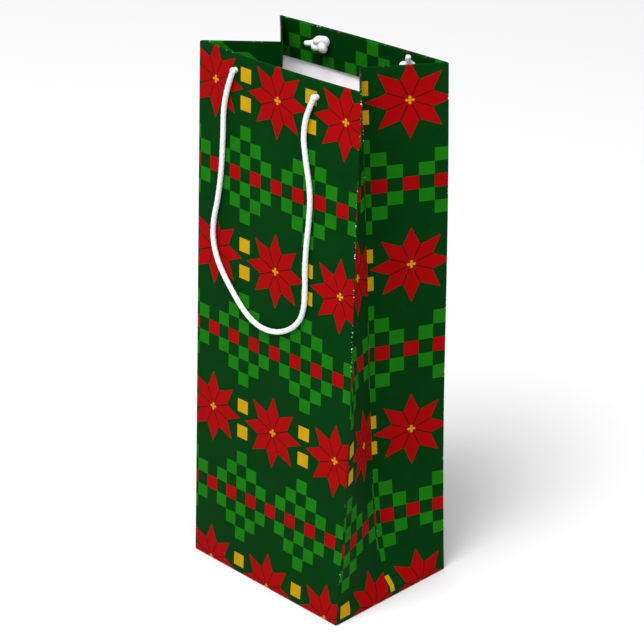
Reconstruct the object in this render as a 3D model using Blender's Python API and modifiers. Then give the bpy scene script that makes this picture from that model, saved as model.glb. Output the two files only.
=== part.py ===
"""Wine gift bag: a tall gusseted paper bag, open at the top, with a cord handle on the front and on the back.

The bag stands on z = 0 with its front towards -Y. The base is a full rectangle. The side gussets fold
inwards along a vertical crease that runs deeper towards the top, so the front and back lean together, and
each of them bows out a little at the middle of its top edge.
The printed sheet is one piece of paper on the real bag. Here it is split at its creases, which are hinges.
"""

import math

import bmesh
import bpy
import numpy as np
from mathutils import Matrix, Vector

# Driving dimensions, in metres.
BAG_WIDTH = 0.1285
BAG_DEPTH = 0.096
BAG_HEIGHT = 0.340
PAPER = 0.0004
CARD = 0.0008
BASE_CARD = 0.0012
GAP = 0.0003
PANEL_FOOT = 0.0005

# How far the top of each wall leans over the base, at its left and at its right edge.
FRONT_LEAN = (0.0131, 0.0197)
BACK_LEAN = (0.0179, 0.0054)

# How much sooner the right edges lean in than a straight edge would: one and two half waves over the height.
FRONT_RIGHT_WAVES = (0.0027, 0.0012)
BACK_RIGHT_WAVES = (0.0006, 0.0009)

# How far each wall bows outwards at the middle of its top edge.
FRONT_BOW = 0.0028
BACK_BOW = 0.0010

HEM_DEPTH = 0.025
HEM_SIDE_MARGIN = 0.0036
HEM_TOP_MARGIN = 0.0004
CARD_EDGE_MARGIN = 0.0009
GLUE_FLAP_WIDTH = 0.014
GLUE_FLAP_MARGINS = (0.0022, 0.0060, 0.0020)

# What is left open beside each corner and each crease, on the outer sheet and on its hem.
GUSSET_TRIMS = (0.0010, 0.0005)
GUSSET_HEM_TRIMS = (0.0044, 0.0006)
CREASE_START = 0.0035
CREASE_FULL = 0.012

# The right crease lies a little shallower than the paper's width gives low down, and deeper towards the top.
RIGHT_CREASE_PUSH = (-0.0018, 0.0044)
PUSH_HEIGHTS = (0.080, 0.360)

# It is also drawn out and forwards, in x and y, so its back half is the wider one. Its front half bows in,
# between the lower pair of heights and the upper one.
RIGHT_CREASE_SHIFT = (0.0075, -0.0073)
SHIFT_HEIGHTS = (0.040, 0.220)
RIGHT_FRONT_BOW = 0.0050
BOW_START = (0.100, 0.200)
BOW_END = (0.240, 0.310)

FLAP_MARGIN = 0.0008
FLAP_TAPER = 0.012
SIDE_FLAP_TAPER = 0.018
FRONT_FLAP_END = 0.016
BACK_FLAP_END = -0.012
SIDE_FLAP_END = 0.020
BASE_CARD_MARGIN = 0.0015

CORD_RADIUS = 0.0016
HOLE_RADIUS = 0.0023
HOLE_SPACING = 0.064
HOLE_DROP = 0.010
PUNCH_REACH = 0.006
CORD_STANDOFF = 0.0020
CORD_STEP = 0.0075
KNOT_RADII = (0.0064, 0.0046, 0.0050)
KNOT_BEND_RADIUS = 0.00163
TAIL_LENGTH = 0.0100
TAIL_SLANT = 0.25

# How finely each sheet is divided, and how much the rows of a gusset crowd towards its foot.
WALL_COLUMNS = 6
WALL_ROWS = 12
HEM_ROWS = 2
GUSSET_COLUMNS = 8
GUSSET_ROWS = 30
GUSSET_CROWDING = 1.5
CORD_SIDES = 12
KNOT_SIDES = 16
HOLE_SIDES = 24

# Where each handle hangs, as (across, height), from the left hole to the right hole.
FRONT_HANDLE_ROUTE = [
    (-0.0320, 0.3300), (-0.0360, 0.3195), (-0.0393, 0.3060), (-0.0402, 0.2850), (-0.0415, 0.2650),
    (-0.0445, 0.2457), (-0.0476, 0.2320), (-0.0480, 0.2205), (-0.0450, 0.2095), (-0.0395, 0.2005),
    (-0.0305, 0.1902), (-0.0225, 0.1825), (-0.0150, 0.1776), (-0.0063, 0.1750), (0.0063, 0.1763),
    (0.0180, 0.1826), (0.0248, 0.1905), (0.0277, 0.1995), (0.0284, 0.2100), (0.0282, 0.2220),
    (0.0287, 0.2360), (0.0304, 0.2545), (0.0310, 0.2670), (0.0301, 0.2765), (0.0267, 0.2935),
    (0.0252, 0.3045), (0.0262, 0.3150), (0.0288, 0.3228), (0.0320, 0.3300),
]
BACK_HANDLE_ROUTE = [
    (-0.0320, 0.3300), (-0.0345, 0.3195), (-0.0375, 0.3040), (-0.0405, 0.2800), (-0.0430, 0.2560),
    (-0.0441, 0.2330), (-0.0420, 0.2130), (-0.0360, 0.1950), (-0.0260, 0.1820), (-0.0130, 0.1755),
    (0.0010, 0.1740), (0.0150, 0.1765), (0.0270, 0.1840), (0.0360, 0.1965), (0.0408, 0.2130),
    (0.0424, 0.2330), (0.0415, 0.2560), (0.0395, 0.2800), (0.0370, 0.3040), (0.0343, 0.3195),
    (0.0320, 0.3300),
]

# Each knot: the side of its hole, how far its body sits across from the hole, and where its cut end points.
FRONT_KNOTS = {"front_knot_left": (-1, 0.0025, (0.0, -1.0)), "front_knot_right": (1, -0.0020, (0.6, -0.8))}
BACK_KNOTS = {"back_knot_left": (-1, 0.0050, (-1.0, -0.1)), "back_knot_right": (1, 0.0060, (0.05, 1.0))}

COLOURS = {
    "printed_paper": ((0.004, 0.054, 0.006), 0.45),
    "bare_paper": ((0.80, 0.78, 0.79), 0.85),
    "white_card": ((0.74, 0.73, 0.71), 0.80),
    "cord": ((0.80, 0.83, 0.82), 0.75),
}


def clear_scene():
    for thing in list(bpy.data.objects):
        bpy.data.objects.remove(thing, do_unlink=True)


def new_collection(name):
    collection = bpy.data.collections.new(name)
    bpy.context.scene.collection.children.link(collection)
    return collection


def make_material(name):
    colour, roughness = COLOURS[name]
    material = bpy.data.materials.new(name)
    material.use_nodes = True
    shader = material.node_tree.nodes["Principled BSDF"]
    shader.inputs["Base Color"].default_value = (*colour, 1.0)
    shader.inputs["Roughness"].default_value = roughness
    shader.inputs["Metallic"].default_value = 0.0
    return material


def add_object(name, data, material, collection):
    thing = bpy.data.objects.new(name, data)
    thing.data.materials.append(material)
    collection.objects.link(thing)
    return thing


def mix(ends, share):
    return ends[0] * (1 - share) + ends[1] * share


def smooth_step(value, low, high):
    t = min(max((value - low) / (high - low), 0.0), 1.0)
    return t * t * (3 - 2 * t)


def wall_lean(x, z, lean, waves, bow):
    """How far a wall has come in over the base at this place."""
    across = x / BAG_WIDTH + 0.5
    up = z / BAG_HEIGHT
    sooner = waves[0] * math.sin(math.pi * up) + waves[1] * math.sin(2 * math.pi * up)
    outwards = bow * up**2 * 4 * across * (1 - across)
    return mix(lean, across) * up + sooner * across - outwards


def front_face(x, z):
    """Y of the outside of the front wall."""
    return -BAG_DEPTH / 2 + wall_lean(x, z, FRONT_LEAN, FRONT_RIGHT_WAVES, FRONT_BOW)


def back_face(x, z):
    """Y of the outside of the back wall."""
    return BAG_DEPTH / 2 - wall_lean(x, z, BACK_LEAN, BACK_RIGHT_WAVES, BACK_BOW)


WALLS = {"front": (front_face, 1), "back": (back_face, -1)}


def sheet(name, place, columns, rows, thickness, material, collection):
    """A thin sheet whose middle surface is place(u, v), with u and v from 0 to 1."""
    mesh = bpy.data.meshes.new(name)
    grid = bmesh.new()
    bmesh.ops.create_grid(grid, x_segments=columns, y_segments=rows, size=0.5)
    for vertex in grid.verts:
        vertex.co = place(vertex.co.x + 0.5, vertex.co.y + 0.5)
    grid.to_mesh(mesh)
    grid.free()
    thing = add_object(name, mesh, material, collection)
    solidify = thing.modifiers.new("thickness", "SOLIDIFY")
    solidify.thickness = thickness
    solidify.offset = 0.0
    return thing


def wall_sheet(name, wall, depth, thickness, x_span, z_span, rows, material, collection):
    """A layer of a wall, with its outer side at this depth behind the wall's outside."""
    face, inwards = WALLS[wall]

    def place(u, v):
        x = mix(x_span, u)
        z = mix(z_span, v)
        return (x, face(x, z) + inwards * (depth + thickness / 2), z)

    return sheet(name, place, WALL_COLUMNS, rows, thickness, material, collection)


def gusset_line(side, half, z):
    """A half gusset's corner and crease at this height, as plan points on the middle of the paper."""
    x_corner = side * (BAG_WIDTH / 2 - PAPER / 2)
    front = front_face(side * BAG_WIDTH / 2, z) + PAPER / 2
    back = back_face(side * BAG_WIDTH / 2, z) - PAPER / 2
    half_width = BAG_DEPTH / 2 - PAPER / 2
    depth = math.sqrt(max(half_width**2 - ((back - front) / 2) ** 2, 0.0))
    if side > 0:
        depth += mix(RIGHT_CREASE_PUSH, smooth_step(z, *PUSH_HEIGHTS))
    depth *= smooth_step(z, CREASE_START, CREASE_FULL)
    corner = Vector((x_corner, front if half == "front" else back))
    crease = Vector((x_corner - side * depth, (front + back) / 2))
    if side > 0:
        crease += Vector(RIGHT_CREASE_SHIFT) * smooth_step(z, *SHIFT_HEIGHTS)
    return corner, crease


def half_bow(side, half, z, share):
    """How far half a gusset bows into the bag at this height and share of the way from corner to crease."""
    if (side, half) != (1, "front"):
        return 0.0
    bow = RIGHT_FRONT_BOW * (smooth_step(z, *BOW_START) - smooth_step(z, *BOW_END))
    return bow * math.sin(math.pi * share) ** 2


def gusset_sheet(name, side, half, inset, trims, z_span, rows, material, collection):
    """Half a gusset, this far inside the outer sheet, cut back by the trims at its corner and crease."""

    def place(u, v):
        z = mix(z_span, v**GUSSET_CROWDING)
        corner, crease = gusset_line(side, half, z)
        along = (crease - corner).normalized()
        inwards = Vector((along.y, -along.x))
        if inwards.x * side > 0:
            inwards.negate()
        start = corner + along * trims[0]
        end = crease - along * trims[1]
        point = start.lerp(end, u)
        share = (point - corner).length / (crease - corner).length
        point += inwards * (inset + half_bow(side, half, z, share))
        return (point.x, point.y, z)

    return sheet(name, place, GUSSET_COLUMNS, rows, PAPER, material, collection)


def flat_piece(name, outline, z_low, thickness, material, collection):
    """A flat piece of paper or card with this outline, lying at this height."""
    curve = bpy.data.curves.new(name, "CURVE")
    curve.dimensions = "2D"
    curve.fill_mode = "BOTH"
    curve.extrude = thickness / 2
    spline = curve.splines.new("POLY")
    spline.points.add(len(outline) - 1)
    spline.use_cyclic_u = True
    for point, (x, y) in zip(spline.points, outline):
        point.co = (x, y, 0.0, 1.0)
    thing = add_object(name, curve, material, collection)
    thing.location.z = z_low + thickness / 2
    return thing


def smooth_route(points, step):
    """Points at about this spacing along the centripetal Catmull-Rom curve through the given points."""
    given = [Vector(point) for point in points]
    ends = [given[0] * 2 - given[1], *given, given[-1] * 2 - given[-2]]
    route = []
    for a, b, c, d in zip(ends, ends[1:], ends[2:], ends[3:]):
        t1 = math.sqrt((b - a).length)
        t2 = t1 + math.sqrt((c - b).length)
        t3 = t2 + math.sqrt((d - c).length)
        for t in np.linspace(t1, t2, max(2, math.ceil((c - b).length / (step / 4))), endpoint=False):
            ab = a.lerp(b, t / t1)
            bc = b.lerp(c, (t - t1) / (t2 - t1))
            cd = c.lerp(d, (t - t2) / (t3 - t2))
            route.append(ab.lerp(bc, t / t2).lerp(bc.lerp(cd, (t - t1) / (t3 - t1)), (t - t1) / (t2 - t1)))
    return [*route, given[-1]]


def evenly_spaced(route, step, trim):
    """Points about one step apart along the route, leaving this much off each end."""
    points = np.array(route)
    run = np.concatenate([[0.0], np.cumsum(np.linalg.norm(np.diff(points, axis=0), axis=1))])
    places = np.linspace(trim, run[-1] - trim, round((run[-1] - 2 * trim) / step) + 1)
    return [[np.interp(place, run, points[:, axis]) for axis in range(3)] for place in places]


def cord_tube(name, points, material, collection):
    curve = bpy.data.curves.new(name, "CURVE")
    curve.dimensions = "3D"
    curve.bevel_depth = CORD_RADIUS
    curve.bevel_resolution = 2
    curve.use_fill_caps = True
    spline = curve.splines.new("POLY")
    spline.points.add(len(points) - 1)
    for point, place in zip(spline.points, points):
        point.co = (*place, 1.0)
    return add_object(name, curve, material, collection)


def handle(name, wall, route, material, collection):
    """The loop of cord that hangs outside a wall, cut back to clear the cord's bend at each hole."""
    face, inwards = WALLS[wall]
    points = [(x, face(x, z) - inwards * CORD_STANDOFF, z) for x, z in route]
    loop = evenly_spaced(smooth_route(points, CORD_STEP), CORD_STEP, CORD_RADIUS + GAP)
    return cord_tube(name, loop, material, collection)


def rod(name, start, end, radius, sides, collection):
    """A closed cylinder between two points."""
    start, end = Vector(start), Vector(end)
    mesh = bpy.data.meshes.new(name)
    made = bmesh.new()
    bmesh.ops.create_cone(
        made, cap_ends=True, segments=sides, radius1=radius, radius2=radius, depth=(end - start).length
    )
    turn = (end - start).to_track_quat("Z", "Y").to_matrix().to_4x4()
    bmesh.ops.transform(made, matrix=Matrix.Translation((start + end) / 2) @ turn, verts=made.verts)
    made.to_mesh(mesh)
    made.free()
    thing = bpy.data.objects.new(name, mesh)
    collection.objects.link(thing)
    return thing


def ball(name, centre, radii, sides, collection):
    """A closed ellipsoid."""
    mesh = bpy.data.meshes.new(name)
    made = bmesh.new()
    bmesh.ops.create_uvsphere(made, u_segments=sides, v_segments=sides // 2, radius=1.0)
    stretch = Matrix.Diagonal((*radii, 1.0))
    bmesh.ops.transform(made, matrix=Matrix.Translation(centre) @ stretch, verts=made.verts)
    made.to_mesh(mesh)
    made.free()
    thing = bpy.data.objects.new(name, mesh)
    collection.objects.link(thing)
    return thing


def set_aside(thing):
    """A helper shape that only cuts or joins is left out of the bag itself."""
    thing.hide_render = True
    thing.display_type = "WIRE"


def combine(target, helper, operation):
    set_aside(helper)
    boolean = target.modifiers.new(helper.name, "BOOLEAN")
    boolean.operation = operation
    boolean.object = helper


def knot(name, wall, shape, material, collection, helpers):
    """The knot inside the bag, with the cord through its hole and the short cut end that sticks out."""
    side, shift, (tail_x, tail_z) = shape
    face, inwards = WALLS[wall]
    hole_x = side * HOLE_SPACING / 2
    hole_z = BAG_HEIGHT - HOLE_DROP
    outside = face(hole_x, hole_z)
    inner_side = outside + inwards * (2 * PAPER + CARD + 2 * GAP)
    bend = Vector((hole_x, outside - inwards * CORD_STANDOFF, hole_z))
    centre = Vector((hole_x + shift, inner_side + inwards * (2 * GAP + KNOT_RADII[1]), hole_z))
    neck_end = Vector((hole_x, centre.y, hole_z))
    tail = Vector((tail_x, inwards * TAIL_SLANT, tail_z)).normalized() * TAIL_LENGTH

    body = ball(name, centre, KNOT_RADII, KNOT_SIDES, collection)
    body.data.materials.append(material)
    helper_shapes = [
        rod(f"{name}_neck", bend, neck_end, CORD_RADIUS, CORD_SIDES, helpers),
        ball(f"{name}_bend", bend, (KNOT_BEND_RADIUS,) * 3, CORD_SIDES, helpers),
        rod(f"{name}_tail", centre, centre + tail, CORD_RADIUS, CORD_SIDES, helpers),
    ]
    for helper in helper_shapes:
        combine(body, helper, "UNION")


def punch(wall, side, targets, helpers):
    """A cord hole through every layer of a wall."""
    face, _ = WALLS[wall]
    x = side * HOLE_SPACING / 2
    z = BAG_HEIGHT - HOLE_DROP
    start = (x, face(x, z) - PUNCH_REACH, z)
    end = (x, face(x, z) + PUNCH_REACH, z)
    cutter = rod(f"{wall}_punch_{side}", start, end, HOLE_RADIUS, HOLE_SIDES, helpers)
    for target in targets:
        combine(target, cutter, "DIFFERENCE")


def build_wall(wall, paint, collection, helpers):
    """A front or back wall, with the card strip and the turned-in hem behind its top edge."""
    across = (-BAG_WIDTH / 2, BAG_WIDTH / 2)
    inside = (across[0] + HEM_SIDE_MARGIN, across[1] - HEM_SIDE_MARGIN)
    hem_bottom = BAG_HEIGHT - HEM_DEPTH
    hem_depth = PAPER + CARD + 2 * GAP
    card_span = (hem_bottom + CARD_EDGE_MARGIN, BAG_HEIGHT - CARD_EDGE_MARGIN)
    hem_span = (hem_bottom, BAG_HEIGHT - HEM_TOP_MARGIN)
    layers = [
        wall_sheet(
            f"{wall}_panel", wall, 0.0, PAPER, across, (PANEL_FOOT, BAG_HEIGHT),
            WALL_ROWS, paint["printed_paper"], collection,
        ),
        wall_sheet(
            f"{wall}_reinforcement_card", wall, PAPER + GAP, CARD, inside, card_span,
            HEM_ROWS, paint["white_card"], collection,
        ),
        wall_sheet(
            f"{wall}_hem", wall, hem_depth, PAPER, inside, hem_span,
            HEM_ROWS, paint["printed_paper"], collection,
        ),
    ]
    for side in (-1, 1):
        punch(wall, side, layers, helpers)


def build_gussets(paint, collection):
    """Both side gussets, each of two halves that meet at the crease, with a hem inside each half."""
    hem_span = (BAG_HEIGHT - HEM_DEPTH, BAG_HEIGHT - HEM_TOP_MARGIN)
    for side, label in ((-1, "left"), (1, "right")):
        for half in ("front", "back"):
            gusset_sheet(
                f"{label}_gusset_{half}", side, half, 0.0, GUSSET_TRIMS,
                (0.0, BAG_HEIGHT), GUSSET_ROWS, paint["printed_paper"], collection,
            )
            gusset_sheet(
                f"{label}_hem_{half}", side, half, PAPER + GAP, GUSSET_HEM_TRIMS,
                hem_span, HEM_ROWS + 1, paint["printed_paper"], collection,
            )


def build_glue_flap(paint, collection):
    """The strip on the right gusset's back edge that is glued inside the back wall and closes the tube."""
    side_margin, foot_margin, head_margin = GLUE_FLAP_MARGINS
    end = BAG_WIDTH / 2 - side_margin
    span = (foot_margin, BAG_HEIGHT - HEM_DEPTH - head_margin)
    wall_sheet(
        "glue_flap", "back", PAPER + GAP, PAPER, (end - GLUE_FLAP_WIDTH, end), span,
        WALL_ROWS, paint["bare_paper"], collection,
    )


def flap_outline(fold, end, half_length, taper):
    """A flap from its fold line to its far edge, where both ends are cut back by the taper."""
    return [
        (-half_length, fold),
        (half_length, fold),
        (half_length - taper, end),
        (-half_length + taper, end),
    ]


def build_base(paint, collection):
    """The folded base, from the outside in: front flap, back flap, both side flaps, and the card on top."""
    x_edge = BAG_WIDTH / 2 - FLAP_MARGIN
    y_edge = BAG_DEPTH / 2 - FLAP_MARGIN
    layer = PAPER + GAP
    printed = paint["printed_paper"]
    front = flap_outline(-y_edge, FRONT_FLAP_END, x_edge, FLAP_TAPER)
    flat_piece("bottom_flap_front", front, 0.0, PAPER, printed, collection)
    back = flap_outline(y_edge, BACK_FLAP_END, x_edge, FLAP_TAPER)
    flat_piece("bottom_flap_back", back, layer, PAPER, printed, collection)
    for side, label in ((-1, "left"), (1, "right")):
        turned = flap_outline(side * x_edge, side * SIDE_FLAP_END, y_edge, SIDE_FLAP_TAPER)
        outline = [(x, y) for y, x in turned]
        flat_piece(f"bottom_flap_{label}", outline, 2 * layer, PAPER, printed, collection)

    x_card = BAG_WIDTH / 2 - BASE_CARD_MARGIN
    y_card = BAG_DEPTH / 2 - BASE_CARD_MARGIN
    card = flap_outline(-y_card, y_card, x_card, 0.0)
    flat_piece("bottom_card", card, 3 * layer, BASE_CARD, paint["white_card"], collection)


def build_bag():
    clear_scene()
    bag = new_collection("wine_gift_bag")
    helpers = new_collection("cutters")
    paint = {name: make_material(name) for name in COLOURS}

    for wall in WALLS:
        build_wall(wall, paint, bag, helpers)
    build_gussets(paint, bag)
    build_glue_flap(paint, bag)
    build_base(paint, bag)
    handle("front_handle_cord", "front", FRONT_HANDLE_ROUTE, paint["cord"], bag)
    handle("back_handle_cord", "back", BACK_HANDLE_ROUTE, paint["cord"], bag)
    for wall, knots in (("front", FRONT_KNOTS), ("back", BACK_KNOTS)):
        for name, shape in knots.items():
            knot(name, wall, shape, paint["cord"], bag, helpers)


build_bag()
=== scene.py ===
"""Looks of the wine gift bag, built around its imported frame.

The bag is folded from six sheets of printed paper: two walls and four half gussets. Each sheet is one
piece from the fold under its foot, up the outside, over the rim and down the turned-in hem. Lengths are in
metres.
"""

import math
from collections import namedtuple
from itertools import accumulate

import bmesh
import bpy
import numpy as np
from mathutils import Matrix, Vector


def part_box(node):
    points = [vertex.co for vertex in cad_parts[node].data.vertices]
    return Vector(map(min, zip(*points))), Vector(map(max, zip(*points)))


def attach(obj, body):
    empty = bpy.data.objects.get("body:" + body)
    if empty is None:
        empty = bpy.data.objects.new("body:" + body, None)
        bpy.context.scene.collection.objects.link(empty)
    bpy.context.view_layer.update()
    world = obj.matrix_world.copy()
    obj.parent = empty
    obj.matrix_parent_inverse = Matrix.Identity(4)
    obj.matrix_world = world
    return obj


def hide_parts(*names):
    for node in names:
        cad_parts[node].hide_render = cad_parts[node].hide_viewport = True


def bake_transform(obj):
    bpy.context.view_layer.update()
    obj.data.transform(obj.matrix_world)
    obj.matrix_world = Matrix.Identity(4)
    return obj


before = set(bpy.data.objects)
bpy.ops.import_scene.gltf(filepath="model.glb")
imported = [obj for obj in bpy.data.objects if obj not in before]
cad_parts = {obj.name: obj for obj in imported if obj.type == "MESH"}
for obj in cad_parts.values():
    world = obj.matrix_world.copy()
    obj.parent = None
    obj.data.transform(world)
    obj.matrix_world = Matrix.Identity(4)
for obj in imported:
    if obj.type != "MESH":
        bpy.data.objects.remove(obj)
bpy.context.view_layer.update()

# The bag's own box, from the frame.
FRONT_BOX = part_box("front_panel")
BACK_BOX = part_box("back_panel")
BAG_WIDTH = FRONT_BOX[1].x - FRONT_BOX[0].x
BAG_DEPTH = BACK_BOX[1].y - FRONT_BOX[0].y
BAG_HEIGHT = FRONT_BOX[1].z
HEM_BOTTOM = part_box("front_hem")[0].z
PAPER = 0.0004

# The shape of the walls and creases, the same as in the frame. First, how far the top of each wall leans
# over the base, at its left and at its right edge.
FRONT_LEAN = (0.0131, 0.0197)
BACK_LEAN = (0.0179, 0.0054)

# How much sooner the right edges lean in than a straight edge would: one and two half waves over the
# height.
FRONT_RIGHT_WAVES = (0.0027, 0.0012)
BACK_RIGHT_WAVES = (0.0006, 0.0009)

# How far each wall bows outwards at the middle of its top edge.
FRONT_BOW = 0.0028
BACK_BOW = 0.0010

# A gusset is flat up to the first height, and its crease is at its full depth from the second one on.
CREASE_START = 0.0035
CREASE_FULL = 0.012

# The right crease lies a little shallower than the paper's width gives low down, and deeper towards the
# top.
RIGHT_CREASE_PUSH = (-0.0018, 0.0044)
PUSH_HEIGHTS = (0.080, 0.360)

# It is also drawn out and forwards, in x and y, so its back half is the wider one. Its front half bows in,
# between the lower pair of heights and the upper one.
RIGHT_CREASE_SHIFT = (0.0075, -0.0073)
SHIFT_HEIGHTS = (0.040, 0.220)
RIGHT_FRONT_BOW = 0.0050
BOW_START = (0.100, 0.200)
BOW_END = (0.240, 0.310)

# The layers behind the outer sheet: how deep the middle of a hem lies, on a wall and on a gusset.
WALL_HEM_INSET = 0.0020
GUSSET_HEM_INSET = 0.0009

# The turn under the foot: the radius of the paper's inner side, and how far the sheet goes on from there.
FOOT_RADIUS = 0.0006
FOOT_TURN_IN = 0.0005

# Folds between sheets: how far the rounding reaches along each sheet, and how much further near the foot,
# where a gusset comes out flat.
FOLD_REACH = 0.0008
CREASE_SOFTENING = 0.0090
SOFTENING_HEIGHTS = (0.004, 0.034)

# How worn the print is along its folds, and how far from a fold the wear ends.
WEAR_WIDTH = 0.0012
FOOT_WEAR = {"edge": 0.3, "bend": 0.9, "ends": 0.6}
RIM_WEAR = {"bend": 0.76, "ends": 0.5}

# The rows up the outside, how much closer together they are at the foot, and the heights of the rows on the
# hem below the holes.
OUTSIDE_ROWS = 34
ROWS_CROWDING = 1.4
BELOW_HOLES = (0.3225, 0.319)

# The cord, its bend outside each hole, the holes, and where each handle hangs, as (across, height), from
# the left hole to the right one.
CORD_RADIUS = 0.0016
BEND_RADIUS = 0.00192
CORD_STANDOFF = 0.0020
HOLE_RADIUS = 0.0023
HOLE_X = 0.032
HOLE_Z = 0.330
FRONT_HANDLE_ROUTE = [
    (-0.0320, 0.3300), (-0.0360, 0.3195), (-0.0393, 0.3060), (-0.0402, 0.2850), (-0.0415, 0.2650),
    (-0.0445, 0.2457), (-0.0476, 0.2320), (-0.0480, 0.2205), (-0.0450, 0.2095), (-0.0395, 0.2005),
    (-0.0305, 0.1902), (-0.0225, 0.1825), (-0.0150, 0.1776), (-0.0063, 0.1750), (0.0063, 0.1763),
    (0.0180, 0.1826), (0.0248, 0.1905), (0.0277, 0.1995), (0.0284, 0.2100), (0.0282, 0.2220),
    (0.0287, 0.2360), (0.0304, 0.2545), (0.0310, 0.2670), (0.0301, 0.2765), (0.0267, 0.2935),
    (0.0252, 0.3045), (0.0262, 0.3150), (0.0288, 0.3228), (0.0320, 0.3300),
]
BACK_HANDLE_ROUTE = [
    (-0.0320, 0.3300), (-0.0345, 0.3195), (-0.0375, 0.3040), (-0.0405, 0.2800), (-0.0430, 0.2560),
    (-0.0441, 0.2330), (-0.0420, 0.2130), (-0.0360, 0.1950), (-0.0260, 0.1820), (-0.0130, 0.1755),
    (0.0010, 0.1740), (0.0150, 0.1765), (0.0270, 0.1840), (0.0360, 0.1965), (0.0408, 0.2130),
    (0.0424, 0.2330), (0.0415, 0.2560), (0.0395, 0.2800), (0.0370, 0.3040), (0.0343, 0.3195),
    (0.0320, 0.3300),
]

# Each knot: the side of its hole, its centre from the hole (across, up), and the way its cut end points.
KNOTS = {
    "front": {
        "left": (-1, (0.0025, -0.0015), (0.0, -1.0)),
        "right": (1, (-0.0020, -0.0015), (0.6, -0.8)),
    },
    "back": {
        "left": (-1, (0.0048, 0.0010), (-1.0, -0.1)),
        "right": (1, (0.0066, 0.0010), (0.30, 1.0)),
    },
}

# The print is made of cells, and repeats after six of them across and a little over twelve up.
CELL = (0.008544, 0.008738)
REPEAT = (6.0, 12.2)
# The centre of one flower on each sheet: x on a wall, or the distance from the corner on half a gusset, and
# the length of sheet below it. The width of print on each half gusset is the same all the way up.
FLOWER_PLACE = {
    "front": (0.0024, 0.3201),
    "back": (-0.0172, 0.3183),
    "right_front": (0.0333, 0.3186),
    "right_back": (0.0206, 0.3186),
    "left_front": (0.0358, 0.3160),
    "left_back": (0.0230, 0.3186),
}
PRINTED_WIDTH = {"right_front": 0.0480, "right_back": 0.0453, "left_front": 0.0480, "left_back": 0.0480}
# Where the right gusset's print sits higher or lower than even rows: at a height, over a reach, by so much.
PRINT_RISES = ((0.216, 0.105, 0.0040), (0.050, 0.045, -0.0027))
# How far the print slants towards the crease on the left gusset's front hem, for each length below the rim.
LEFT_HEM_SLANT = 1.1

# How strongly the printed sheet mirrors its surroundings, next to a usual plastic's 0.5, and its roughness:
# the least, and how much more there is in places.
PRINT_SPECULAR = 0.015
PRINT_ROUGHNESS = (0.42, 0.10)

# How much light the inks send back, next to their plain colours, and how much that differs between places.
INK_STRENGTH = 0.56
INK_UNEVENNESS = 0.06


def mix(ends, share):
    return ends[0] * (1 - share) + ends[1] * share


def smooth_step(value, low, high):
    t = min(max((value - low) / (high - low), 0.0), 1.0)
    return t * t * (3 - 2 * t)


# ---------------------------------------------------------------- camera and light

# Where the camera stands, which way it lies from the bag in degrees, and its lens in millimetres.
CAMERA_PLACE = (1.016501, -0.985176, 0.854937)
CAMERA_AZIMUTH = 45.812
CAMERA_ELEVATION = 25.923
CAMERA_ROLL = -0.038
CAMERA_LENS = 145.04

# What both lights point at.
LIT_SPOT = Vector((0.0, 0.0, 0.17))


def add_camera():
    azimuth, elevation, roll = (math.radians(a) for a in (CAMERA_AZIMUTH, CAMERA_ELEVATION, CAMERA_ROLL))
    level = Vector((math.sin(azimuth), -math.cos(azimuth), 0.0))
    back = level * math.cos(elevation) + Vector((0.0, 0.0, math.sin(elevation)))
    right = Vector((math.cos(azimuth), math.sin(azimuth), 0.0))
    turn = Matrix((right, back.cross(right), back)).transposed() @ Matrix.Rotation(roll, 3, "Z")
    data = bpy.data.cameras.new("camera")
    data.lens = CAMERA_LENS
    data.sensor_width = 36.0
    data.clip_end = 50.0
    camera = bpy.data.objects.new("camera", data)
    camera.matrix_world = Matrix.Translation(CAMERA_PLACE) @ turn.to_4x4()
    bpy.context.scene.collection.objects.link(camera)
    bpy.context.scene.camera = camera


def add_light(name, place, size, power):
    data = bpy.data.lights.new(name, "AREA")
    data.shape = "DISK"
    data.size = size
    data.energy = power
    light = bpy.data.objects.new(name, data)
    light.location = place
    light.rotation_euler = (LIT_SPOT - Vector(place)).to_track_quat("-Z", "Y").to_euler()
    bpy.context.scene.collection.objects.link(light)


def add_studio():
    world = bpy.data.worlds.new("studio")
    world.use_nodes = True
    background = world.node_tree.nodes["Background"]
    background.inputs["Color"].default_value = (1.0, 1.0, 1.0, 1.0)
    background.inputs["Strength"].default_value = 0.8
    bpy.context.scene.world = world
    bpy.context.scene.view_settings.view_transform = "Standard"
    add_light("key", place=(0.3, -1.5, 3.0), size=1.8, power=135.0)
    add_light("fill", place=(2.6, -0.6, 2.2), size=2.2, power=20.0)


def add_floor(material):
    mesh = bpy.data.meshes.new("floor")
    made = bmesh.new()
    bmesh.ops.create_grid(made, x_segments=1, y_segments=1, size=6.0)
    made.to_mesh(mesh)
    made.free()
    floor = bpy.data.objects.new("floor", mesh)
    floor.data.materials.append(material)
    bpy.context.scene.collection.objects.link(floor)


# ---------------------------------------------------------------- materials


def colour(red, green, blue):
    """A linear colour from its usual 0 to 255 values, by the sRGB formula."""
    shares = [value / 255 for value in (red, green, blue)]
    return (*(((c + 0.055) / 1.055) ** 2.4 if c > 0.04045 else c / 12.92 for c in shares), 1.0)


DARK_GREEN = colour(2, 62, 14)
LIGHT_GREEN = colour(26, 128, 14)
RED = colour(178, 6, 8)
VEIN = colour(84, 22, 8)
YELLOW = colour(214, 168, 12)
PAPER_WHITE = colour(250, 248, 251)
CARD_WHITE = colour(222, 219, 213)
CORD_WHITE = colour(214, 216, 215)
CORD_SHADE = colour(196, 198, 199)
FLOOR_WHITE = colour(206, 206, 207)


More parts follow.
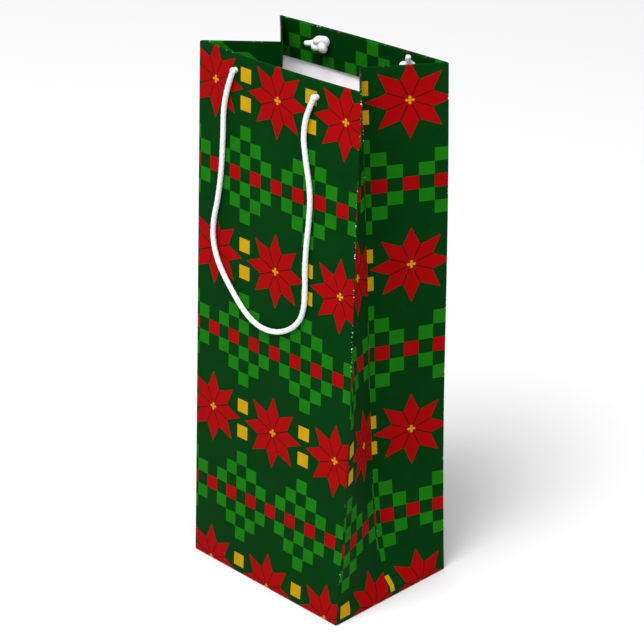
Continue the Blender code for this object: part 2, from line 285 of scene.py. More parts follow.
class Paint:
    """A material's node tree, with short calls for the kinds of node used here."""

    def __init__(self, name, roughness, specular):
        self.material = bpy.data.materials.new(name)
        self.material.use_nodes = True
        self.tree = self.material.node_tree
        self.shader = self.tree.nodes["Principled BSDF"]
        self.shader.inputs["Roughness"].default_value = roughness
        self.shader.inputs["Specular IOR Level"].default_value = specular

    def plug(self, socket, value):
        if isinstance(value, bpy.types.NodeSocket):
            self.tree.links.new(value, socket)
        else:
            socket.default_value = value

    def node(self, kind, **inputs):
        made = self.tree.nodes.new(kind)
        for name, value in inputs.items():
            self.plug(made.inputs[name.replace("_", " ")], value)
        return made

    def maths(self, operation, *values):
        made = self.tree.nodes.new("ShaderNodeMath")
        made.operation = operation
        for socket, value in zip(made.inputs, values):
            self.plug(socket, value)
        return made.outputs[0]

    def blend(self, share, first, second):
        made = self.tree.nodes.new("ShaderNodeMix")
        made.data_type = "RGBA"
        sockets = [s for s in made.inputs if s.type == "RGBA"]
        self.plug(made.inputs[0], share)
        self.plug(sockets[0], first)
        self.plug(sockets[1], second)
        return next(s for s in made.outputs if s.type == "RGBA")

    def noise(self, scale, detail=3.0, stretch=(1.0, 1.0, 1.0)):
        place = self.tree.nodes.new("ShaderNodeTexCoord").outputs["Object"]
        mapping = self.node("ShaderNodeMapping", Vector=place, Scale=stretch)
        made = self.node("ShaderNodeTexNoise", Vector=mapping.outputs[0], Scale=scale, Detail=detail)
        return made.outputs[0]

    def band(self, value, low, high):
        """0 below low, 1 above high, and even between them."""
        made = self.node("ShaderNodeMapRange", Value=value, From_Min=low, From_Max=high)
        return made.outputs[0]

    def bump(self, height, distance, strength):
        made = self.node("ShaderNodeBump", Height=height, Distance=distance, Strength=strength)
        self.plug(self.shader.inputs["Normal"], made.outputs[0])

    def finish(self, base, roughness=None):
        self.plug(self.shader.inputs["Base Color"], base)
        if roughness is not None:
            self.plug(self.shader.inputs["Roughness"], roughness)
        return self.material


# The print's flower, in cells: the reach of a petal, and of the notch between two petals.
PETAL_TIP = 2.75
PETAL_NOTCH = 1.5
PETAL_TURN = math.pi / 8
VEIN_HALF_WIDTH = 0.046
VEIN_START = 0.36

# The four round lobes of a flower's centre, the square that joins them, and how far the two squares of a
# yellow pair lie from the middle of the pair.
LOBE_OFFSET = 0.19
LOBE_RADIUS = 0.095
HEART_HALF_WIDTH = 0.10
PAIR_OFFSET = 1.0


def flower(paint, across, up):
    """(inside a petal, on the line between two petals) for a flower of eight petals round the centre."""
    # Each petal is folded onto half of itself, where its edge is one straight line from its tip to a notch.
    squares = paint.maths("ADD", paint.maths("MULTIPLY", across, across), paint.maths("MULTIPLY", up, up))
    reach = paint.maths("SQRT", squares)
    angle = paint.maths("ARCTAN2", up, across)
    turn = paint.maths("ABSOLUTE", paint.maths("WRAP", angle, PETAL_TURN, -PETAL_TURN))
    tip = Vector((PETAL_TIP, 0.0))
    notch = Vector((math.cos(PETAL_TURN), math.sin(PETAL_TURN))) * PETAL_NOTCH
    edge = (tip - notch).normalized()
    facing = Vector((-edge.y, edge.x))
    along = paint.maths("MULTIPLY", paint.maths("MULTIPLY", reach, paint.maths("COSINE", turn)), facing.x)
    aside = paint.maths("MULTIPLY", paint.maths("MULTIPLY", reach, paint.maths("SINE", turn)), facing.y)
    inside = paint.maths("LESS_THAN", paint.maths("ADD", along, aside), facing.dot(tip))
    from_line = paint.maths("SUBTRACT", PETAL_TURN, turn)
    off_line = paint.maths("MULTIPLY", reach, paint.maths("SINE", from_line))
    near = paint.maths("LESS_THAN", off_line, VEIN_HALF_WIDTH)
    vein = paint.maths("MULTIPLY", near, paint.maths("GREATER_THAN", reach, VEIN_START))
    return inside, vein


def square(paint, across, up, half):
    """1 inside a square of this half width round (0, 0)."""
    return paint.maths("LESS_THAN", paint.maths("MAXIMUM", across, up), half)


def equals(paint, value, whole):
    """1 where a rounded value is this whole number."""
    return paint.maths("COMPARE", value, whole, 0.1)


def one_or_three(paint, value):
    return paint.maths("MAXIMUM", equals(paint, value, 1), equals(paint, value, 3))


def printed_colour(paint, across, up):
    """The knitted-look print: rows of flowers and yellow squares, between bands of stepped diamonds."""
    across = paint.maths("WRAP", across, REPEAT[0] / 2, -REPEAT[0] / 2)
    up = paint.maths("WRAP", up, REPEAT[1] / 2, -REPEAT[1] / 2)
    off_across = paint.maths("ABSOLUTE", across)
    off_up = paint.maths("ABSOLUTE", up)

    column = paint.maths("ROUND", paint.maths("SUBTRACT", REPEAT[0] / 2, off_across))
    row = paint.maths("ROUND", paint.maths("SUBTRACT", REPEAT[1] / 2, off_up))
    middle = equals(paint, row, 0)
    odd_step = one_or_three(paint, paint.maths("ADD", column, row))
    green = paint.maths("MULTIPLY", odd_step, paint.maths("SUBTRACT", 1.0, middle))
    red = paint.maths("MULTIPLY", middle, one_or_three(paint, column))

    from_column = paint.maths("SUBTRACT", REPEAT[0] / 2, off_across)
    from_pair = paint.maths("ABSOLUTE", paint.maths("SUBTRACT", off_up, PAIR_OFFSET))
    yellow = square(paint, from_column, from_pair, 0.5)
    petal, vein = flower(paint, across, up)

    longer = paint.maths("MAXIMUM", off_across, off_up)
    shorter = paint.maths("MINIMUM", off_across, off_up)
    from_lobe = paint.maths("SUBTRACT", longer, LOBE_OFFSET)
    squares = paint.maths("ADD", paint.maths("POWER", from_lobe, 2.0), paint.maths("POWER", shorter, 2.0))
    lobe = paint.maths("LESS_THAN", squares, LOBE_RADIUS**2)
    centre = paint.maths("MAXIMUM", lobe, square(paint, longer, shorter, HEART_HALF_WIDTH))

    shown = paint.blend(green, DARK_GREEN, LIGHT_GREEN)
    shown = paint.blend(red, shown, RED)
    shown = paint.blend(yellow, shown, YELLOW)
    petal_colour = paint.blend(vein, RED, VEIN)
    shown = paint.blend(petal, shown, petal_colour)
    return paint.blend(centre, shown, YELLOW)


def finish_print(paint, shown, worn):
    """Coated paper: faint unevenness of the ink, a fine grain, and bare paper where the ink is worn."""
    clouds = paint.band(paint.noise(scale=60.0), low=0.35, high=0.65)
    uneven = paint.maths("MULTIPLY", clouds, INK_UNEVENNESS)
    strength = paint.maths("ADD", INK_STRENGTH - INK_UNEVENNESS / 2, uneven)
    shown = paint.node("ShaderNodeHueSaturation", Value=strength, Color=shown).outputs[0]
    shown = paint.blend(worn, shown, PAPER_WHITE)
    paint.bump(paint.noise(scale=1400.0, detail=2.0), distance=0.00003, strength=0.5)
    roughness = paint.maths("ADD", PRINT_ROUGHNESS[0], paint.maths("MULTIPLY", clouds, PRINT_ROUGHNESS[1]))
    return paint.finish(shown, roughness)


def sheet_print():
    """The print on the folded sheets. Their UV map is in cells from a flower's centre."""
    paint = Paint("printed_paper", PRINT_ROUGHNESS[0], PRINT_SPECULAR)
    uv = paint.tree.nodes.new("ShaderNodeUVMap")
    uv.uv_map = "print"
    parts = paint.node("ShaderNodeSeparateXYZ", Vector=uv.outputs[0])
    shown = printed_colour(paint, parts.outputs[0], parts.outputs[1])
    fold = paint.tree.nodes.new("ShaderNodeAttribute")
    fold.attribute_name = "fold"
    flecks = paint.band(paint.noise(scale=900.0, detail=4.0), low=0.60, high=0.66)
    patches = paint.band(paint.noise(scale=70.0, detail=2.0), low=0.52, high=0.62)
    near_fold = paint.band(fold.outputs["Fac"], low=0.55, high=0.95)
    worn = paint.maths("MULTIPLY", paint.maths("MULTIPLY", flecks, patches), near_fold)
    return finish_print(paint, shown, worn)


def base_print():
    """The print under the base, on the flaps' undersides. Their upper sides are bare."""
    paint = Paint("printed_base", PRINT_ROUGHNESS[0], PRINT_SPECULAR)
    place = paint.tree.nodes.new("ShaderNodeTexCoord")
    parts = paint.node("ShaderNodeSeparateXYZ", Vector=place.outputs["Object"])
    from_flower = paint.maths("SUBTRACT", parts.outputs[0], FLOWER_PLACE["front"][0])
    from_edge = paint.maths("ADD", parts.outputs[1], BAG_DEPTH / 2)
    across = paint.maths("DIVIDE", from_flower, CELL[0])
    up = paint.maths("DIVIDE", from_edge, CELL[1])
    shown = printed_colour(paint, across, up)
    facing = paint.node("ShaderNodeSeparateXYZ", Vector=place.outputs["Normal"])
    not_under = paint.maths("GREATER_THAN", facing.outputs[2], -0.5)
    return finish_print(paint, shown, not_under)


def bare_paper():
    """The uncoated back of the sheet: matte white with a faint fibre mottle."""
    paint = Paint("bare_paper", roughness=0.85, specular=0.2)
    clouds = paint.band(paint.noise(scale=180.0, detail=5.0), low=0.3, high=0.7)
    shown = paint.blend(paint.maths("MULTIPLY", clouds, 0.35), PAPER_WHITE, colour(240, 237, 240))
    paint.bump(paint.noise(scale=2200.0), distance=0.00004, strength=0.6)
    return paint.finish(shown)


def white_card():
    """Pulp board: a shade warmer and coarser than the paper, with a few darker fibres."""
    paint = Paint("white_card", roughness=0.8, specular=0.2)
    clouds = paint.band(paint.noise(scale=240.0, detail=5.0), low=0.3, high=0.7)
    fibres = paint.band(paint.noise(scale=500.0, detail=2.0, stretch=(1.0, 6.0, 1.0)), low=0.68, high=0.74)
    shown = paint.blend(paint.maths("MULTIPLY", clouds, 0.5), CARD_WHITE, colour(206, 201, 192))
    shown = paint.blend(paint.maths("MULTIPLY", fibres, 0.4), shown, colour(160, 150, 136))
    paint.bump(paint.noise(scale=1600.0), distance=0.00008, strength=0.8)
    return paint.finish(shown)


def cord_yarn():
    """Soft white twisted yarn: fine filaments laid along each strand, with a little sheen."""
    paint = Paint("cord", roughness=0.75, specular=0.25)
    uv = paint.tree.nodes.new("ShaderNodeUVMap")
    uv.uv_map = "yarn"
    mapping = paint.node("ShaderNodeMapping", Vector=uv.outputs[0], Scale=(1.0, 0.12, 1.0))
    threads = paint.node("ShaderNodeTexNoise", Vector=mapping.outputs[0], Scale=34.0, Detail=4.0).outputs[0]
    shown = paint.blend(paint.band(threads, low=0.35, high=0.7), CORD_WHITE, CORD_SHADE)
    paint.bump(threads, distance=0.00012, strength=0.7)
    paint.shader.inputs["Sheen Weight"].default_value = 0.15
    return paint.finish(shown)


def floor_paint():
    return Paint("floor", roughness=0.9, specular=0.0).finish(FLOOR_WHITE)


# ---------------------------------------------------------------- the shape of the bag


def wall_lean(x, z, lean, waves, bow):
    """How far a wall has come in over the base at this place."""
    across = x / BAG_WIDTH + 0.5
    up = z / BAG_HEIGHT
    sooner = waves[0] * math.sin(math.pi * up) + waves[1] * math.sin(2 * math.pi * up)
    outwards = bow * up**2 * 4 * across * (1 - across)
    return mix(lean, across) * up + sooner * across - outwards


def front_face(x, z):
    return -BAG_DEPTH / 2 + wall_lean(x, z, FRONT_LEAN, FRONT_RIGHT_WAVES, FRONT_BOW)


def back_face(x, z):
    return BAG_DEPTH / 2 - wall_lean(x, z, BACK_LEAN, BACK_RIGHT_WAVES, BACK_BOW)


# The outside of each wall, and which way is inwards along Y.
WALLS = {"front": (front_face, 1), "back": (back_face, -1)}

# A row across the folded sheet: its height, how far it lies inside the outer faces of a wall and of a
# gusset, the length of sheet below it, and how worn the fold there is.
Row = namedtuple("Row", "height wall_inset gusset_inset run wear")

# A spot on a sheet: its place, its place in the print, and how worn it is.
Spot = namedtuple("Spot", "place print_place wear")

# A hole in a wall's sheet: its side of the wall, the first column and row of its block of the grid, and the
# function that gives its layer's row at a height.
Hole = namedtuple("Hole", "wall side column row layer")

# A round hole takes the place of a block of the sheet's grid: its cells each way, and half its size.
HOLE_CELLS = 4
HOLE_BLOCK = 0.004


def block(middle):
    """The grid lines of a block for a hole."""
    return [middle + HOLE_BLOCK * (2 * step / HOLE_CELLS - 1) for step in range(HOLE_CELLS + 1)]


def rim():
    """The turn at the rim: its height where it starts, and its radius on a wall and on a gusset."""
    wall_radius = (WALL_HEM_INSET - PAPER / 2) / 2
    gusset_radius = (GUSSET_HEM_INSET - PAPER / 2) / 2
    return BAG_HEIGHT - PAPER / 2 - wall_radius, wall_radius, gusset_radius


def rim_run():
    """The length of sheet below the place where the hem starts."""
    start, wall_radius, _ = rim()
    return start + math.pi * wall_radius


def outside_row(z):
    return Row(z, PAPER / 2, PAPER / 2, z, 0.0)


def hem_row(z):
    return Row(z, WALL_HEM_INSET, GUSSET_HEM_INSET, rim_run() + rim()[0] - z, 0.0)


def foot_rows():
    """The bottom edge, where each sheet turns in under the bag."""
    inner = PAPER / 2 + FOOT_RADIUS
    rows = [Row(PAPER / 2, inner + FOOT_TURN_IN, inner + FOOT_TURN_IN, -FOOT_TURN_IN, FOOT_WEAR["edge"])]
    for degrees in (90, 60, 30, 0):
        turn = math.radians(degrees)
        inset = PAPER / 2 + FOOT_RADIUS * (1 - math.cos(turn))
        height = PAPER / 2 + FOOT_RADIUS * (1 - math.sin(turn))
        wear = FOOT_WEAR["bend"] if 0 < degrees < 90 else FOOT_WEAR["ends"]
        rows.append(Row(height, inset, inset, inner - FOOT_RADIUS * turn, wear))
    return rows


def outside_rows():
    """Rows up the outside, closer together at the foot, where the gussets open out."""
    foot = PAPER / 2 + FOOT_RADIUS
    tall = block(HOLE_Z)[0] - HOLE_BLOCK - foot
    heights = [foot + tall * (k / OUTSIDE_ROWS) ** ROWS_CROWDING for k in range(2, OUTSIDE_ROWS + 1)]
    return [outside_row(z) for z in [foot + WEAR_WIDTH, *heights, *block(HOLE_Z), rim()[0] - WEAR_WIDTH]]


def rim_rows():
    start, wall_radius, gusset_radius = rim()
    rows = []
    for degrees in range(0, 181, 20):
        turn = math.radians(degrees)
        rows.append(Row(
            start + wall_radius * math.sin(turn),
            (PAPER / 2 + WALL_HEM_INSET) / 2 - wall_radius * math.cos(turn),
            (PAPER / 2 + GUSSET_HEM_INSET) / 2 - gusset_radius * math.cos(turn),
            start + wall_radius * turn,
            RIM_WEAR["bend"] if 20 < degrees < 160 else RIM_WEAR["ends"],
        ))
    return rows


def hem_rows():
    heights = [rim()[0] - WEAR_WIDTH, *reversed(block(HOLE_Z)), *BELOW_HOLES, HEM_BOTTOM]
    return [hem_row(z) for z in heights]


ROWS = [*foot_rows(), *outside_rows(), *rim_rows(), *hem_rows()]


def wall_point(wall, x, row):
    """Where this row's layer of a wall lies in plan."""
    face, inwards = WALLS[wall]
    return Vector((x, face(x, row.height) + inwards * row.wall_inset))


class Gusset:
    """One half of a gusset at one height: its outer corner and crease in plan, and its directions."""

    def __init__(self, side, wall, z):
        edge = side * BAG_WIDTH / 2
        front, back = front_face(edge, z), back_face(edge, z)
        depth = math.sqrt(max((BAG_DEPTH / 2) ** 2 - ((back - front) / 2) ** 2, 0.0))
        if side > 0:
            depth += mix(RIGHT_CREASE_PUSH, smooth_step(z, *PUSH_HEIGHTS))
        depth *= smooth_step(z, CREASE_START, CREASE_FULL)
        self.crease = Vector((edge - side * depth, (front + back) / 2))
        self.bow = 0.0
        if side > 0:
            self.crease += Vector(RIGHT_CREASE_SHIFT) * smooth_step(z, *SHIFT_HEIGHTS)
            if wall == "front":
                self.bow = RIGHT_FRONT_BOW * (smooth_step(z, *BOW_START) - smooth_step(z, *BOW_END))
        ends = (front, back) if wall == "front" else (back, front)
        self.corner = Vector((edge, ends[0]))
        self.along, self.inwards = self.directions(side, self.corner)
        self.other_along, self.other_inwards = self.directions(side, Vector((edge, ends[1])))

    def directions(self, side, corner):
        """From this corner to the crease, and square to that, into the bag."""
        along = (self.crease - corner).normalized()
        return along, Vector((-along.y, along.x)) * math.copysign(1.0, side * along.y)

    def layer_corner(self, wall, row):
        """Where this row's layer of the gusset meets the same layer of the wall."""
        # Moving along the wall towards the gusset's layer comes closer each time, and six times is plenty.
        point = wall_point(wall, self.corner.x, row)
        for _ in range(6):
            past = (point - self.corner).dot(self.inwards) - row.gusset_inset
            point = wall_point(wall, point.x - past / self.inwards.x, row)
        return point

    def layer_crease(self, row):
        """Where this row's layers of the two halves meet."""
        both = self.inwards + self.other_inwards
        return self.crease + both * row.gusset_inset / (1 + self.inwards.dot(self.other_inwards))

    def share(self, point):
        """How far along the half this point is, from 0 at its corner to 1 at its crease."""
        return (point - self.corner).dot(self.along) / (self.crease - self.corner).length

    def bowed(self, point):
        """The point, moved by the half's bow into the bag."""
        return point + self.inwards * self.bow * math.sin(math.pi * self.share(point)) ** 2


def bend_point(start, corner, end, share):
    """A point on the rounded fold from start to end, which has its corner here."""
    return start.lerp(corner, share).lerp(corner.lerp(end, share), share)


def corner_fold(side, wall, row):
    """Half a gusset, the two ends of its fold with a wall, and the fold as a function of a share."""
    half = Gusset(side, wall, row.height)
    corner = half.layer_corner(wall, row)
    on_wall = wall_point(wall, corner.x - side * FOLD_REACH, row)
    on_gusset = corner + half.along * FOLD_REACH
    return half, on_wall, on_gusset, lambda share: bend_point(on_wall, corner, on_gusset, share)


# The columns along each edge of a sheet, as (how far round the fold, how worn), and those across half a
# wall and half a gusset.
FOLD_COLUMNS = ((0.5, 1.0), (0.75, 0.85), (1.0, 0.5))
CREASE_COLUMNS = ((0.0, 0.5), (0.17, 0.75), (0.33, 0.9), (0.5, 1.0))
WALL_COLUMNS = [0.0, 0.010, 0.020, *block(HOLE_X), 0.043, 0.050, 0.0575]
GUSSET_COLUMNS = 8


def sheet_spot(sheet, point, across, row, wear=0.0):
    return Spot((*point, row.height), print_place(sheet, across, row.run), max(wear, row.wear))


def wall_spot(wall, x, row):
    return sheet_spot(wall, wall_point(wall, x, row), x, row)


def print_place(sheet, across, run):
    """A place on the sheet in cells, from the centre of a flower."""
    column, height = FLOWER_PLACE[sheet]
    if sheet.startswith("right"):
        for middle, reach, rise in PRINT_RISES:
            run -= rise * (1 + math.cos(math.pi * min(abs(run - middle) / reach, 1.0))) / 2
    if sheet == "left_front":
        across -= LEFT_HEM_SLANT * max(run - rim_run(), 0.0)
    return ((across - column) / CELL[0], (run - height) / CELL[1])


def wall_row(wall, row):
    """The spots across a wall, from its left fold to its right one as x grows."""
    spots = []
    for side in (-1, 1):
        _, on_wall, _, fold = corner_fold(side, wall, row)
        edge = [(fold(1 - share), wear) for share, wear in FOLD_COLUMNS]
        spots.append([
            *(sheet_spot(wall, point, point.x, row, wear) for point, wear in edge),
            wall_spot(wall, on_wall.x - side * WEAR_WIDTH, row),
        ])
    columns = sorted({-x for x in WALL_COLUMNS} | set(WALL_COLUMNS))
    return [*spots[0], *(wall_spot(wall, x, row) for x in columns), *reversed(spots[1])]


def gusset_row(side, wall, row):
    """The spots across half a gusset, from its corner to its crease."""
    sheet = f"{'left' if side < 0 else 'right'}_{wall}"
    half, _, start, fold = corner_fold(side, wall, row)
    crease = half.layer_crease(row)
    reach = FOLD_REACH + CREASE_SOFTENING * (1 - smooth_step(row.height, *SOFTENING_HEIGHTS))
    end = crease - half.along * reach
    beyond = crease - half.other_along * reach
    crispness = FOLD_REACH / reach

    def spot(point, wear=0.0):
        return sheet_spot(sheet, point, half.share(point) * PRINTED_WIDTH[sheet], row, wear)

    inner = [start + half.along * WEAR_WIDTH, end - half.along * WEAR_WIDTH]
    between = [inner[0].lerp(inner[1], step / GUSSET_COLUMNS) for step in range(GUSSET_COLUMNS + 1)]
    return [
        *(spot(fold(share), wear) for share, wear in FOLD_COLUMNS),
        *(spot(half.bowed(point)) for point in between),
        *(spot(bend_point(end, crease, beyond, share), wear * crispness) for share, wear in CREASE_COLUMNS),
    ]


def hole_faces(hole, made, grid, spots):
    """The ring of paper between a round hole and the border of the block of the grid that it replaces."""
    first, last = (hole.column, hole.row), (hole.column + HOLE_CELLS, hole.row + HOLE_CELLS)
    border = [(first[0] + k, first[1]) for k in range(HOLE_CELLS)]
    border += [(last[0], first[1] + k) for k in range(HOLE_CELLS)]
    border += [(last[0] - k, last[1]) for k in range(HOLE_CELLS)]
    border += [(first[0], last[1] - k) for k in range(HOLE_CELLS)]
    outer, inner = [], []
    for column, row in border:
        spot = spots[row][column]
        x, _, z = spot.place
        angle = math.atan2(z - HOLE_Z, x - hole.side * HOLE_X)
        round_row = hole.layer(HOLE_Z + HOLE_RADIUS * math.sin(angle))
        edge = wall_spot(hole.wall, hole.side * HOLE_X + HOLE_RADIUS * math.cos(angle), round_row)
        outer.append((grid[column, row], spot))
        inner.append((made.verts.new(edge.place), edge))
    return [[outer[k - 1], outer[k], inner[k], inner[k - 1]] for k in range(len(border))]


def add_sheet(name, spots, paints, holes=()):
    """A folded sheet from its rows of spots, with round holes in it."""
    mesh = bpy.data.meshes.new(name)
    made = bmesh.new()
    uv = made.loops.layers.uv.new("print")
    fold = made.verts.layers.float.new("fold")
    left_out, inside = set(), set()
    for hole in holes:
        cells = range(HOLE_CELLS)
        left_out |= {(hole.column + i, hole.row + j) for i in cells for j in cells}
        inside |= {(hole.column + i, hole.row + j) for i in cells[1:] for j in cells[1:]}
    grid = {
        (i, j): made.verts.new(spot.place)
        for j, row in enumerate(spots) for i, spot in enumerate(row) if (i, j) not in inside
    }
    faces = []
    for j in range(len(spots) - 1):
        for i in range(len(spots[0]) - 1):
            if (i, j) not in left_out:
                corners = [(i, j), (i + 1, j), (i + 1, j + 1), (i, j + 1)]
                faces.append([(grid[column, row], spots[row][column]) for column, row in corners])
    for hole in holes:
        faces += hole_faces(hole, made, grid, spots)

    for corners in faces:
        face = made.faces.new([vertex for vertex, _ in corners])
        for loop, (vertex, spot) in zip(face.loops, corners):
            loop[uv].uv = spot.print_place
            vertex[fold] = spot.wear
    made.to_mesh(mesh)
    made.free()
    return thicken(name, mesh, paints)


# An edge that turns by more degrees than this is shaded as a sharp one.
SHARP_ANGLE = 52


def thicken(name, mesh, paints):
    """Gives a sheet its thickness, with its printed side out and its bare side in."""
    for paint in paints:
        mesh.materials.append(paint)
    thin = bpy.data.objects.new(name + "_thin", mesh)
    bpy.context.scene.collection.objects.link(thin)
    solidify = thin.modifiers.new("thickness", "SOLIDIFY")
    solidify.thickness = PAPER
    solidify.offset = 0.0
    solidify.material_offset = 1
    solidify.material_offset_rim = 0
    graph = bpy.context.evaluated_depsgraph_get()
    solid = bpy.data.meshes.new_from_object(thin.evaluated_get(graph))
    bpy.data.objects.remove(thin)
    solid.name = name
    solid.shade_smooth()
    solid.set_sharp_from_angle(angle=math.radians(SHARP_ANGLE))
    piece = bpy.data.objects.new(name, solid)
    bpy.context.scene.collection.objects.link(piece)
    return piece


def wall_holes(wall, spots):
    """The two holes through both layers of a wall's sheet."""
    heights = [row.height for row in ROWS]
    low, high = block(HOLE_Z)[0], block(HOLE_Z)[-1]
    outside = heights.index(low)
    hem = heights.index(high, heights.index(high) + 1)
    columns = [spot.place[0] for spot in spots[outside]]
    holes = []
    for side in (-1, 1):
        column = min(range(len(columns)), key=lambda i: abs(columns[i] - block(side * HOLE_X)[0]))
        holes.append(Hole(wall, side, column, outside, outside_row))
        holes.append(Hole(wall, side, column, hem, hem_row))
    return holes


def add_wall(wall, paints):
    spots = [wall_row(wall, row) for row in ROWS]
    holes = wall_holes(wall, spots)
    if wall == "back":
        spots = [list(reversed(row)) for row in spots]
        last = len(spots[0]) - 1 - HOLE_CELLS
        holes = [hole._replace(column=last - hole.column) for hole in holes]
    piece = add_sheet(f"{wall}_wall_sheet", spots, paints, holes)
    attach(piece, f"{wall}_wall")
    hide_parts(f"{wall}_panel", f"{wall}_hem")


def add_half_gusset(side, wall, paints):
    """Half a gusset, folded where it meets its wall and along its crease."""
    label = "left" if side < 0 else "right"
    spots = [gusset_row(side, wall, row) for row in ROWS]
    if (side > 0) != (wall == "front"):
        spots = [list(reversed(row)) for row in spots]
    piece = add_sheet(f"{label}_gusset_{wall}_sheet", spots, paints)
    foot, top = Gusset(side, wall, 0.0), Gusset(side, wall, BAG_HEIGHT)
    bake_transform(piece)
    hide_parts(f"{label}_gusset_{wall}", f"{label}_hem_{wall}")


# ---------------------------------------------------------------- cords and knots


def smooth_route(points, step):
    """Points about one step apart along the centripetal Catmull-Rom curve through the given points."""
    given = [Vector(point) for point in points]
    ends = [given[0] * 2 - given[1], *given, given[-1] * 2 - given[-2]]
    fine = []
    for a, b, c, d in zip(ends, ends[1:], ends[2:], ends[3:]):
        t1 = math.sqrt((b - a).length)
        t2 = t1 + math.sqrt((c - b).length)
        t3 = t2 + math.sqrt((d - c).length)
        for t in np.linspace(t1, t2, max(3, math.ceil((c - b).length / (step / 3))), endpoint=False):
            ab, bc, cd = a.lerp(b, t / t1), b.lerp(c, (t - t1) / (t2 - t1)), c.lerp(d, (t - t2) / (t3 - t2))
            fine.append(ab.lerp(bc, t / t2).lerp(bc.lerp(cd, (t - t1) / (t3 - t1)), (t - t1) / (t2 - t1)))
    route = np.array([*fine, given[-1]])
    run = np.concatenate([[0.0], np.cumsum(np.linalg.norm(np.diff(route, axis=0), axis=1))])
    places = np.linspace(0.0, run[-1], max(round(run[-1] / step), 4) + 1)
    return [Vector([np.interp(place, run, route[:, axis]) for axis in range(3)]) for place in places]


# A cord's tube: the sides of its mesh, its twisted strands, how far the valleys between them lie below its
# radius and how far the crests rise from there, both as shares of it, and the length of one full twist.
CORD_SIDES = 24
STRANDS = 3
VALLEY_DEPTH = 0.055
CREST_HEIGHT = 0.088
STRAND_PITCH = 0.0115


def runs(path):
    """The distance along the path to each of its points."""
    return list(accumulate(((b - a).length for a, b in zip(path, path[1:])), initial=0.0))


def cord_mesh(name, path, material, radius_at):
    """A tube of twisted strands along the path. Its radius depends on the run and the whole length."""
    run = runs(path)
    mesh = bpy.data.meshes.new(name)
    made = bmesh.new()
    uv = made.loops.layers.uv.new("yarn")
    ahead = (path[1] - path[0]).normalized()
    aside = ahead.orthogonal().normalized()
    rings = []
    for index, point in enumerate(path):
        before, after = path[max(index - 1, 0)], path[min(index + 1, len(path) - 1)]
        turned = (after - before).normalized()
        aside = (ahead.rotation_difference(turned) @ aside).normalized()
        aside = (aside - turned * aside.dot(turned)).normalized()
        ahead = turned
        up = ahead.cross(aside)
        radius = radius_at(run[index], run[-1])
        ring = []
        for side in range(CORD_SIDES):
            angle = 2 * math.pi * side / CORD_SIDES
            phase = STRANDS * (angle - 2 * math.pi * run[index] / STRAND_PITCH)
            share = 1 - VALLEY_DEPTH + CREST_HEIGHT * abs(math.cos(phase / 2))
            out = aside * math.cos(angle) + up * math.sin(angle)
            ring.append(made.verts.new(point + out * radius * share))
        rings.append(ring)
    for index in range(len(rings) - 1):
        for side in range(CORD_SIDES):
            marks = [(side, index), (side + 1, index), (side + 1, index + 1), (side, index + 1)]
            face = made.faces.new([rings[along][around % CORD_SIDES] for around, along in marks])
            for loop, (around, along) in zip(face.loops, marks):
                twist = run[along] / STRAND_PITCH
                loop[uv].uv = (around / CORD_SIDES - twist, run[along] / (2 * math.pi * CORD_RADIUS))
    for ring, middle, turned in ((rings[0], path[0], True), (rings[-1], path[-1], False)):
        tip = made.verts.new(middle)
        for side in range(CORD_SIDES):
            corners = (ring[side], ring[(side + 1) % CORD_SIDES], tip)
            made.faces.new(tuple(reversed(corners)) if turned else corners)
    made.to_mesh(mesh)
    made.free()
    mesh.shade_smooth()
    mesh.materials.append(material)
    piece = bpy.data.objects.new(name, mesh)
    bpy.context.scene.collection.objects.link(piece)
    return piece


# How far apart the points of a cord's path are.
HANDLE_STEP = 0.0008
KNOT_STEP = 0.0005


def rounded(distance, radius, least=0.004):
    """The share of the radius at this distance from a rounded end. Its square is at least so much."""
    short = min(distance, radius) / radius
    return math.sqrt(max(1 - (1 - short) ** 2, least))


def add_handle(wall, route, material):
    """The loop outside a wall. Its ends lie inside the bends of the knots' cords, on its swing's axis."""
    face, inwards = WALLS[wall]
    points = [(x, face(x, z) - inwards * CORD_STANDOFF, z) for x, z in route]
    path = smooth_route(points, HANDLE_STEP)

    def radius(run, length):
        return CORD_RADIUS * rounded(min(run, length - run), CORD_RADIUS)

    piece = cord_mesh(f"{wall}_handle_loop", path, material, radius)
    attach(piece, f"{wall}_handle")
    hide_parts(f"{wall}_handle_cord")


# A knot: its size along the way its cut end points, across that and into the bag, how deep its middle lies
# behind the hem, the angle by which it is opened on either side of the lobe that faces the cut end, and the
# number of points on the rest.
KNOT_SIZE = (0.00140, 0.00112, 0.0018)
KNOT_CENTRE_DEPTH = 0.0048
KNOT_OPENING = 0.55
KNOT_POINTS = 22
# How far the cord runs straight on past each face of the wall, on its way to the knot.
PAST_WALL = 0.0006
# Where the cut end's two last points lie: along the way it points, and deeper into the bag than the knot.
TAIL_POINTS = ((0.0070, 0.0012), (0.0104, 0.0020))
# How much thicker the cord is where it is squeezed in the knot, over what length that comes on, and how far
# short of the cut end's first point it has gone.
KNOT_SWELL = 0.50
KNOT_SWELL_REACH = 0.004
SWELL_SHORT = 0.002
# Outside the wall the cord starts with a ball that covers its bend: the places of the first points, as
# shares of the ball's radius from its middle, and the least square of a ring's share of that radius.
BALL_SHARES = (1.0, 0.97, 0.9, 0.75, 0.5, 0.25)
BALL_LEAST = 0.002


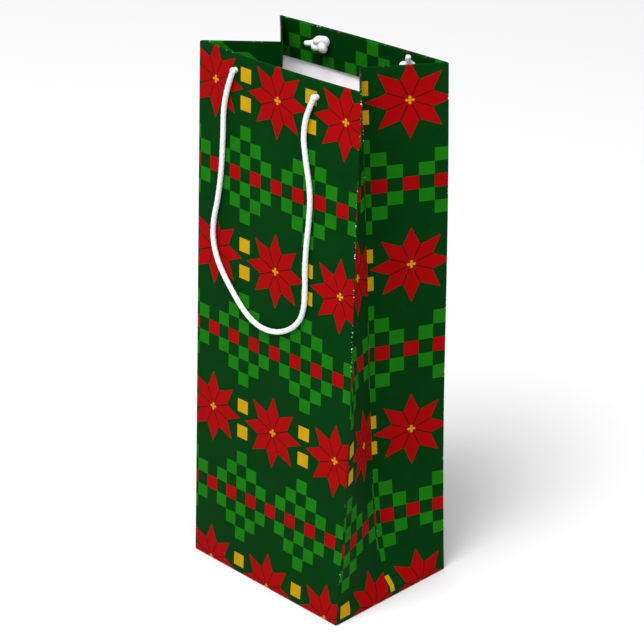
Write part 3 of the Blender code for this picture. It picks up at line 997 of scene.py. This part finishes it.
def knot_route(wall, side, offset, tail):
    """The cord through its hole and its overhand knot: a trefoil, opened at the lobe facing its cut end."""
    face, inwards = WALLS[wall]
    inside = PAPER / 2 + WALL_HEM_INSET

    def place(x, z, depth):
        return (x, face(x, z) + inwards * depth, z)

    hole_x = side * HOLE_X
    centre = Vector((hole_x + offset[0], HOLE_Z + offset[1]))
    away = Vector(tail).normalized()
    aside = Vector((-away.y, away.x))
    points = [
        place(hole_x, HOLE_Z, -CORD_STANDOFF),
        place(hole_x, HOLE_Z, PAPER / 2 + PAST_WALL),
        place(hole_x, HOLE_Z, inside + PAST_WALL),
    ]
    for turn in np.linspace(math.pi + KNOT_OPENING, 3 * math.pi - KNOT_OPENING, KNOT_POINTS):
        across = (math.sin(turn) + 2 * math.sin(2 * turn)) * KNOT_SIZE[1]
        along = -(math.cos(turn) - 2 * math.cos(2 * turn)) * KNOT_SIZE[0]
        spot = centre + away * along + aside * across
        depth = inside + KNOT_CENTRE_DEPTH - math.sin(3 * turn) * KNOT_SIZE[2]
        points.append(place(spot.x, spot.y, depth))
    for reach, deeper in TAIL_POINTS:
        end = centre + away * reach
        points.append(place(end.x, end.y, inside + KNOT_CENTRE_DEPTH + deeper))
    return points


def add_knot(wall, label, side, offset, tail, material):
    """A knot inside the bag, with its cord through the hole and the bend where the handle hangs from it."""
    route = knot_route(wall, side, offset, tail)
    path = smooth_route(route, KNOT_STEP)
    out = (path[0] - path[1]).normalized()
    path = [*(path[0] + out * BEND_RADIUS * share for share in BALL_SHARES), *path]
    swell_start = BEND_RADIUS + (Vector(route[2]) - Vector(route[0])).length
    tail_length = TAIL_POINTS[1][0] - TAIL_POINTS[0][0]
    swell_end = runs(path)[-1] - tail_length - SWELL_SHORT

    def radius(run, length):
        if run < 2 * BEND_RADIUS:
            ball = BEND_RADIUS * rounded(min(run, 2 * BEND_RADIUS - run), BEND_RADIUS, BALL_LEAST)
            return ball if run < BEND_RADIUS else max(ball, CORD_RADIUS)
        squeezed = smooth_step(run, swell_start, swell_start + KNOT_SWELL_REACH)
        squeezed -= smooth_step(run, swell_end - KNOT_SWELL_REACH, swell_end)
        return CORD_RADIUS * (1 + KNOT_SWELL * squeezed) * rounded(length - run, CORD_RADIUS)

    piece = cord_mesh(f"{wall}_knot_{label}_tied", path, material, radius)
    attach(piece, f"{wall}_wall")
    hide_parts(f"{wall}_knot_{label}")
    return piece


# ---------------------------------------------------------------- putting it together


def repaint(node, material):
    """Gives a piece of the frame that is shown as it is its finished material."""
    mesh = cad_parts[node].data
    mesh.materials.clear()
    mesh.materials.append(material)


def add_cords():
    yarn = cord_yarn()
    for wall, route in (("front", FRONT_HANDLE_ROUTE), ("back", BACK_HANDLE_ROUTE)):
        knots = [add_knot(wall, label, *shape, yarn) for label, shape in KNOTS[wall].items()]
        add_handle(wall, route, yarn)


def build_scene():
    add_camera()
    add_cords()
    bare = bare_paper()
    sheet_paints = (sheet_print(), bare)
    for wall in WALLS:
        add_wall(wall, sheet_paints)
        for side in (-1, 1):
            add_half_gusset(side, wall, sheet_paints)
    base = base_print()
    card = white_card()
    for name in ("front", "back", "left", "right"):
        repaint(f"bottom_flap_{name}", base)
    for name in ("front_reinforcement_card", "back_reinforcement_card", "bottom_card"):
        repaint(name, card)
    repaint("glue_flap", bare)
    add_studio()
    add_floor(floor_paint())


build_scene()
